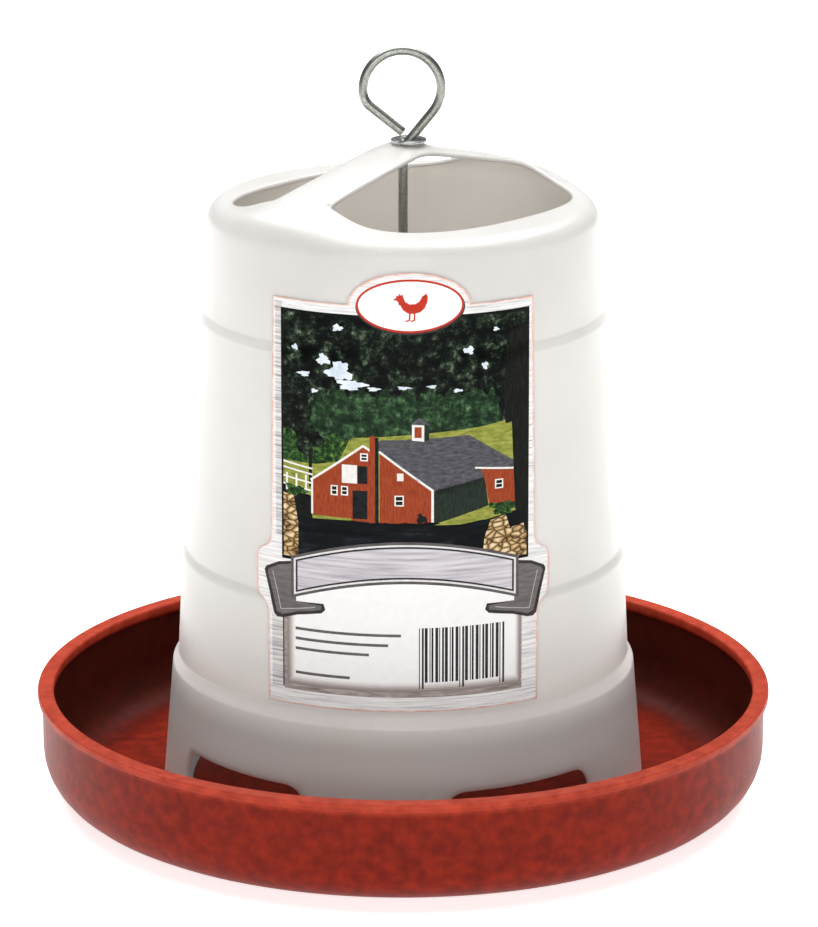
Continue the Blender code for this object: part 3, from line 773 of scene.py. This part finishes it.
    parts += [(road, [(left + 0.6, 112)] + leaf_edge(-32, 27, 110.2, 0.15, 40, 0.5)
               + [(right - 0.6, 112.4), (right - 0.6, low), (left + 0.6, low)]),
              (meadow, [(9.6, 109.4), (14, 110.6), (27, 114.2), (34, 112.2), (30, 110.8),
                        (18, 109.2)]),
              (meadow, [(-28.3, 111.4), (-16, 111.2), (-16, 110.6), (-28, 110.2)]),
              (bush, ragged(31.5, 113.2, 4.4, 2.1, 0.5)), (dark, ragged(5.8, 111.4, 1.6, 1.5, 2.0)),
              (bush, ragged(-33.4, 118.4, 3.2, 1.7, 1.2)),
              (stone, [(left + 0.6, 97), (left + 0.6, 117.2), (-34, 116.6), (-32.6, 108),
                       (-32.6, 97)]),
              (stone, [(24.6, 97), (25.4, 104.4), (27.2, 109.6), (32, 110.8), (33.4, 106.4),
                       (37.6, 107.2), (right - 0.6, 104), (right - 0.6, 97)]),
              (bark, leaf_edge(31.8, 33.8, 140, 0.2, 2, 0) + [(35, 112), (38.6, 110), (38.6, 170),
                                                             (33, 168), (31.4, 150)])]
    return parts


def label_artwork():
    """Every printed area of the label, in millimetres, from the bottom layer to the top."""
    edge_line = ink("print_die_line", [(0.35, "#F0B9A6"), (0.7, "#F8E9E4")], 3.0)
    boards = ink("print_white_boards", [(0.28, "#A9A6A8"), (0.42, "#DCDAD9"), (0.6, "#F6F5F3")],
                 1.9, (0.12, 3.2))
    grey_boards = ink("print_grey_boards", [(0.3, "#7B7270"), (0.5, "#A0948F"), (0.7, "#C3B8B4")],
                      2.2, (0.3, 1.6))
    worn_boards = ink("print_worn_boards", [(0.3, "#8C898C"), (0.45, "#BCB9B9"), (0.62, "#E9E7E5")],
                      1.9, (0.12, 3.2))
    parts = [(edge_line, die_line()), (boards, die_line(0.5)),
             (worn_boards, panel(-39.6, 103, -37.4, 177)),
             (worn_boards, panel(-41.0, 55, -37.4, 78))]
    parts += farm_picture()

    soft = [ink(f"print_panel_shade_{i}", [(0.3, a), (0.7, b)], 3.0) for i, (a, b) in enumerate(
        (("#8E8380", "#988D89"), ("#A59B98", "#ACA3A0"), ("#C1B9B6", "#C8C1BE"),
         ("#DBD6D4", "#DFDBD9"), ("#EDEBEA", "#F0EEED")))]
    clean = ink("print_clean_white", [(0.3, "#F4F3F2"), (0.7, "#F9F8F7")], 3.0)
    parts.append((grey_boards, panel(-37.2, 54.6, 37.2, 92)))
    for i, tone in enumerate(soft + [clean]):
        parts.append((tone, panel(-36.2 + 0.5 * i, 56.4 + 0.6 * i, 36.8 - 0.35 * i, 92)))

    ribbon = ink("print_ribbon", [(0.3, "#5F5B59"), (0.7, "#7B7674")], 2.0, (0.4, 2.2))
    ribbon_edge = ink("print_ribbon_edge", [(0.3, "#2E2B2A"), (0.7, "#433F3E")], 2.0)
    parts.append((ribbon_edge, panel(-37.6, 55.2, -37.2, 82)))
    ribbon_light = ink("print_ribbon_light", [(0.3, "#AAA6A4"), (0.7, "#BDB9B7")], 2.0)
    for sign, shift in ((-1, 0.6), (1, 0.8)):
        tail = [(34, 95.8), (39.5, 94.6), (43.4, 92.4), (44.0, 91.2), (41.0, 78.2), (40.0, 77.2),
                (38.2, 77.3), (33.5, 79.0), (26.0, 80.4), (24.8, 81.6), (25.4, 83.2), (34, 83)]
        parts.append((ribbon_edge, [(sign * x + shift, z) for x, z in tail]))
        body = [(34, 94.8), (39.2, 93.7), (42.6, 91.7), (43.0, 90.8), (40.1, 79.0), (38.4, 78.3),
                (33.5, 80.0), (26.2, 81.4), (26.0, 82.6), (34, 83)]
        parts.append((ribbon, [(sign * x + shift, z) for x, z in body]))
        bend = sign * 38.8 + shift
        parts.append((ribbon_light, stroke(sign * 41.4 + shift, 91.2, bend, 80.0, 0.25)))
        parts.append((ribbon_light, stroke(bend, 80.0, sign * 28.0 + shift, 82.0, 0.25)))

    board_dark = ink("print_board_rim", [(0.3, "#4E4A4A"), (0.7, "#6A6565")], 2.0, (0.4, 2))
    board_light = ink("print_board_line", [(0.3, "#D5D2D3"), (0.7, "#ECEAEA")], 2.0)
    board_face = ink("print_weathered_board",
                     [(0.26, "#8D8890"), (0.42, "#B9B4BB"), (0.6, "#D8D4D9")],
                     2.4, (0.1, 2.4), detail=7.0)
    for inset, tone in ((0, board_dark), (0.9, board_light), (1.5, ribbon_edge), (2.1, board_face)):
        parts.append((tone, arched(-35.0, 36.2, 83.6, 7.2, 13.4, inset)))

    rule = ink("print_grey_rules", [(0.3, "#5A5756"), (0.7, "#6B6867")], 1.5)
    for length, z in ((33.0, 74.6), (29.0, 71.4), (23.0, 68.2), (17.0, 60.4)):
        parts.append((rule, panel(-33.6, z - 0.45, -33.6 + length, z + 0.45)))
    bars = ink("print_black_bars", [(0.3, "#23201F"), (0.7, "#3A3635")], 1.5)
    place = 5.0
    for number in range(26):
        width = 0.3 * (1 + (number * 7 + 3) % 3)
        foot = 57.4 if number in (0, 1, 12, 13, 24, 25) else 59.4
        parts.append((bars, panel(place, foot, place + width, 77.0)))
        place += width + 0.3 * (1 + (number * 5 + 1) % 2)

    badge_red = ink("print_badge_ring", [(0.3, "#B83222"), (0.7, "#C43D2C")], 2.0)
    parts += [(ribbon_edge, oval(2.3, 177.8, 16.9, 8.5)), (badge_red, oval(2.2, 178.3, 16.7, 8.4)),
              (clean, oval(2.2, 178.3, 16.0, 7.7))]
    parts += [(badge_red, shape) for shape in hen(2.4, 178.8)]
    return parts


def make_label():
    parts = label_artwork()
    looks = []
    for look, outline in parts:
        if look not in looks:
            looks.append(look)
    outer = parts[0][1]
    verts, faces = filled([divided(outline, 2.0) for look, outline in parts],
                          (LABEL_LEFT, LABEL_LOW), (LABEL_RIGHT, LABEL_TOP + LABEL_BUMP), 2.0)
    spots = middles(verts, faces)
    paint = np.full(len(faces), -1)
    for look, outline in parts:
        paint[inside(spots, outline)] = looks.index(look)
    paint[~inside(spots, outer)] = -1
    kept = [(face, shade) for face, shade in zip(faces, paint) if shade >= 0]
    used = sorted({i for face, shade in kept for i in face})
    order = {old: new for new, old in enumerate(used)}
    placed = []
    for i in used:
        x, z = verts[i][0] * MM, verts[i][1] * MM
        radius = wall_radius(z) + LABEL_LIFT
        placed.append((x, -sqrt(radius ** 2 - x ** 2), z))
    mesh = bpy.data.meshes.new("stuck_label")
    mesh.from_pydata(placed, [], [tuple(order[i] for i in face) for face, shade in kept])
    for look in looks:
        mesh.materials.append(look)
    mesh.polygons.foreach_set("material_index", [shade for face, shade in kept])
    plan = mesh.uv_layers.new(name="print_mm")
    for loop in mesh.loops:
        x, z = verts[used[loop.vertex_index]][:2]
        plan.data[loop.index].uv = (x, z)
    work = bmesh.new()
    work.from_mesh(mesh)
    front = sum(face.normal.y for face in work.faces)
    if front > 0:
        bmesh.ops.reverse_faces(work, faces=work.faces)
    work.to_mesh(mesh)
    work.free()
    mesh.shade_smooth()
    label = bpy.data.objects.new("stuck_label", mesh)
    bpy.context.scene.collection.objects.link(label)
    sheet = label.modifiers.new("paper", "SOLIDIFY")
    sheet.thickness = LABEL_THICKNESS
    sheet.offset = 1
    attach(label, "hopper")
    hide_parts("label")


make_label()


# ---------------------------------------------------------------- hanger rod
# One length of 3 mm zinc-plated steel wire. Its top is bent round a former into the eye, its cut
# end rests in front of the neck, and its foot is rolled with a 0.635 mm thread for the wing nut.
ROD_RADIUS = 1.5 * MM
ROD_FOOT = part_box("hanger_rod")[0].z
NECK_HEIGHT = 212.6 * MM
NECK_BEND = 5 * MM
EYE_RADIUS = 12.38 * MM
EYE_CENTRE = (-0.3 * MM, 233.8 * MM)
EYE_TAIL_RADIUS = 6 * MM
EYE_TAIL_TURNS = (radians(185), radians(231))
EYE_TAIL_LENGTH = 13.4 * MM
EYE_PITCH = 3.7 * MM
THREAD_PITCH = 0.635 * MM
THREAD_LENGTH = 26 * MM
THREAD_DEPTH = 0.2 * MM


def rod_path():
    """Centreline of the rod above its thread, round the eye and down to the cut end."""
    eye_x, eye_z = EYE_CENTRE
    across = NECK_BEND - eye_x
    rise = eye_z - NECK_HEIGHT
    lean = asin((NECK_BEND + EYE_RADIUS) / hypot(across, rise)) - atan2(across, rise)
    top = ROD_FOOT + THREAD_LENGTH
    points = [(0, 0, top + (NECK_HEIGHT - top) * i / 60) for i in range(60)]
    for step in range(13):
        turn = lean * step / 12
        points.append((NECK_BEND * (1 - cos(turn)), 0, NECK_HEIGHT + NECK_BEND * sin(turn)))
    first, last = EYE_TAIL_TURNS
    count = 110
    for step in range(count + 1):
        turn = -lean + (first + lean) * step / count
        forward = -EYE_PITCH * step / (count + 12)
        points.append((eye_x + EYE_RADIUS * cos(turn), forward, eye_z + EYE_RADIUS * sin(turn)))
    inner_x = eye_x + (EYE_RADIUS - EYE_TAIL_RADIUS) * cos(first)
    inner_z = eye_z + (EYE_RADIUS - EYE_TAIL_RADIUS) * sin(first)
    for step in range(1, 13):
        turn = first + (last - first) * step / 12
        forward = -EYE_PITCH * (count + step) / (count + 12)
        points.append((inner_x + EYE_TAIL_RADIUS * cos(turn), forward,
                       inner_z + EYE_TAIL_RADIUS * sin(turn)))
    x, y, z = points[-1]
    for step in range(1, 9):
        reach = EYE_TAIL_LENGTH * step / 8
        points.append((x - reach * sin(last), y, z + reach * cos(last)))
    return points


def plated_steel(name, light, dark, rough):
    """Steel with a thin electroplated zinc skin: a soft grey shine, mottled where the zinc has
    dulled."""
    made, tree, shader = new_material(name)
    place = add(tree, "TexCoord", {}, {}, "Object")
    mottle = add(tree, "TexNoise", {}, {"Vector": place, "Scale": 1500.0, "Detail": 4.0})
    tone = add(tree, "ValToRGB", {"stops": [(0.35, dark), (0.65, light)]}, {"Fac": mottle})
    tree.links.new(tone, shader.inputs["Base Color"])
    dull = add(tree, "MapRange", {}, {"Value": mottle, "From Min": 0.3, "From Max": 0.7,
                                      "To Min": rough + 0.1, "To Max": rough - 0.06})
    tree.links.new(dull, shader.inputs["Roughness"])
    bump = add(tree, "Bump", {}, {"Height": mottle, "Strength": 0.15, "Distance": 0.00008})
    tree.links.new(bump, shader.inputs["Normal"])
    shader.inputs["Metallic"].default_value = 1.0
    return made


def make_rod():
    sides = 32
    rings = []
    turns = THREAD_LENGTH / THREAD_PITCH
    steps = int(turns * 6)
    for step in range(steps + 1):
        share = step / steps
        z = ROD_FOOT + THREAD_LENGTH * share
        fade = min(1.0, share * 12, (1 - share) * 12)
        ring = []
        for side in range(sides):
            phase = (turns * share - side / sides) % 1
            depth = THREAD_DEPTH * fade * abs(2 * phase - 1)
            turn = 2 * pi * side / sides
            point_in = 0.35 * MM * max(0.0, 1 - share * 60)
            radius = ROD_RADIUS - depth - point_in
            ring.append((radius * cos(turn), radius * sin(turn), z))
        rings.append(ring)
    path = [Vector(p) for p in rod_path()]
    side_axis = Vector((1, 0, 0))
    for index, place in enumerate(path[1:], 1):
        before = path[index - 1]
        after = path[min(index + 1, len(path) - 1)]
        along = (after - before).normalized()
        side_axis = (side_axis - along * side_axis.dot(along)).normalized()
        other = along.cross(side_axis)
        last = index == len(path) - 1
        for shrink, forward in (((1.0, -0.35 * MM), (0.93, -0.1 * MM), (0.8, 0.0)) if last
                                else ((1.0, 0.0),)):
            radius = ROD_RADIUS * shrink
            ring = []
            for side in range(sides):
                turn = 2 * pi * side / sides
                ring.append(place + along * forward
                            + radius * (side_axis * cos(turn) + other * sin(turn)))
            rings.append(ring)
    verts = [tuple(point) for ring in rings for point in ring]
    faces = []
    for r in range(len(rings) - 1):
        for s in range(sides):
            t = (s + 1) % sides
            faces.append((r * sides + s, r * sides + t, (r + 1) * sides + t, (r + 1) * sides + s))
    faces.append(tuple(range(sides)))
    faces.append(tuple((len(rings) - 1) * sides + s for s in range(sides)))
    rod = piece("wire_hanger", verts, faces,
                [plated_steel("drawn_zinc_plated_wire", "#ABAEA7", "#8F928B", 0.36)], 50)
    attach(rod, "hanger")
    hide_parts("hanger_rod")


make_rod()


# ---------------------------------------------------------------- washers
# Two plain washers pressed from zinc-plated sheet: one spreads the eye's pull on the bridge, the
# other lies under the pan's boss. Pressing leaves one edge rolled and the other crisp.
washer_steel = plated_steel("pressed_zinc_plated_sheet", "#C2C6C4", "#9DA19F", 0.28)


def make_washer(name, node, body, hole):
    low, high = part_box(node)
    radius = (high.x - low.x) / 2
    thickness = high.z - low.z
    profile = rounded([(radius, thickness, 0.3 * MM), (radius, 0, 0.1 * MM), (hole, 0, 0.1 * MM),
                       (hole, thickness, 0.25 * MM)], steps=4)
    verts, faces = spun(profile, 72)
    middle = (low + high) / 2
    verts = [(x + middle.x, y + middle.y, z + low.z) for x, y, z in verts]
    made = piece(name, verts, faces, [washer_steel])
    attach(made, body)
    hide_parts(node)


make_washer("bridge_washer", "top_washer", "hanger", 2.95 * MM)
make_washer("boss_washer", "lower_washer", "washer", 2.0 * MM)


# ---------------------------------------------------------------- wing nut
# A small wing nut of cast and plated steel, turned by hand from below: a tapered hub with two
# upright wings.
NUT_RADIUS = 4.4 * MM
NUT_HOLE = 1.9 * MM


def make_nut():
    low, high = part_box("wing_nut")
    top = high.z
    hub_depth = 5.0 * MM
    profile = rounded([(NUT_RADIUS, top, 0.5 * MM),
                       (NUT_RADIUS - 0.7 * MM, top - hub_depth, 0.8 * MM),
                       (NUT_HOLE, top - hub_depth, 0.3 * MM), (NUT_HOLE, top, 0.3 * MM)], steps=5)
    verts, faces = spun(profile, 64)
    cast = plated_steel("cast_zinc_plated_wings", "#B4B8B5", "#8F938F", 0.36)
    nut = piece("cast_wing_nut", verts, faces, [cast])
    span = (high.x - low.x) / 2
    tip_round = 2.6 * MM
    for sign in (-1, 1):
        centre = (span - tip_round, top - 3.8 * MM)
        outline = [(3.1 * MM, top - 0.6 * MM), (span - 4.4 * MM, top - 0.9 * MM)]
        outline += [(centre[0] + tip_round * cos(radians(a)),
                     centre[1] + tip_round * sin(radians(a))) for a in range(40, -131, -10)]
        outline.append((3.1 * MM, top - 4.2 * MM))
        wing_verts = [(sign * x, y, z) for y in (-0.9 * MM, 0.9 * MM) for x, z in outline]
        count = len(outline)
        wing_faces = [tuple(range(count)), tuple(range(2 * count - 1, count - 1, -1))]
        wing_faces += [(i, i + count, (i + 1) % count + count, (i + 1) % count)
                       for i in range(count)]
        wing = piece("wing_blank", wing_verts, wing_faces, [cast])
        join = nut.modifiers.new("wing", "BOOLEAN")
        join.operation = "UNION"
        join.object = wing
        bpy.context.view_layer.update()
        merged = bpy.data.meshes.new_from_object(
            nut.evaluated_get(bpy.context.evaluated_depsgraph_get()))
        nut.modifiers.clear()
        nut.data = merged
        bpy.data.objects.remove(wing, do_unlink=True)
    nut.data.shade_smooth()
    nut.data.set_sharp_from_angle(angle=radians(40))
    softened = nut.modifiers.new("cast_edges", "BEVEL")
    softened.width = 0.3 * MM
    softened.segments = 2
    softened.angle_limit = radians(45)
    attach(nut, "nut")
    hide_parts("wing_nut")


make_nut()
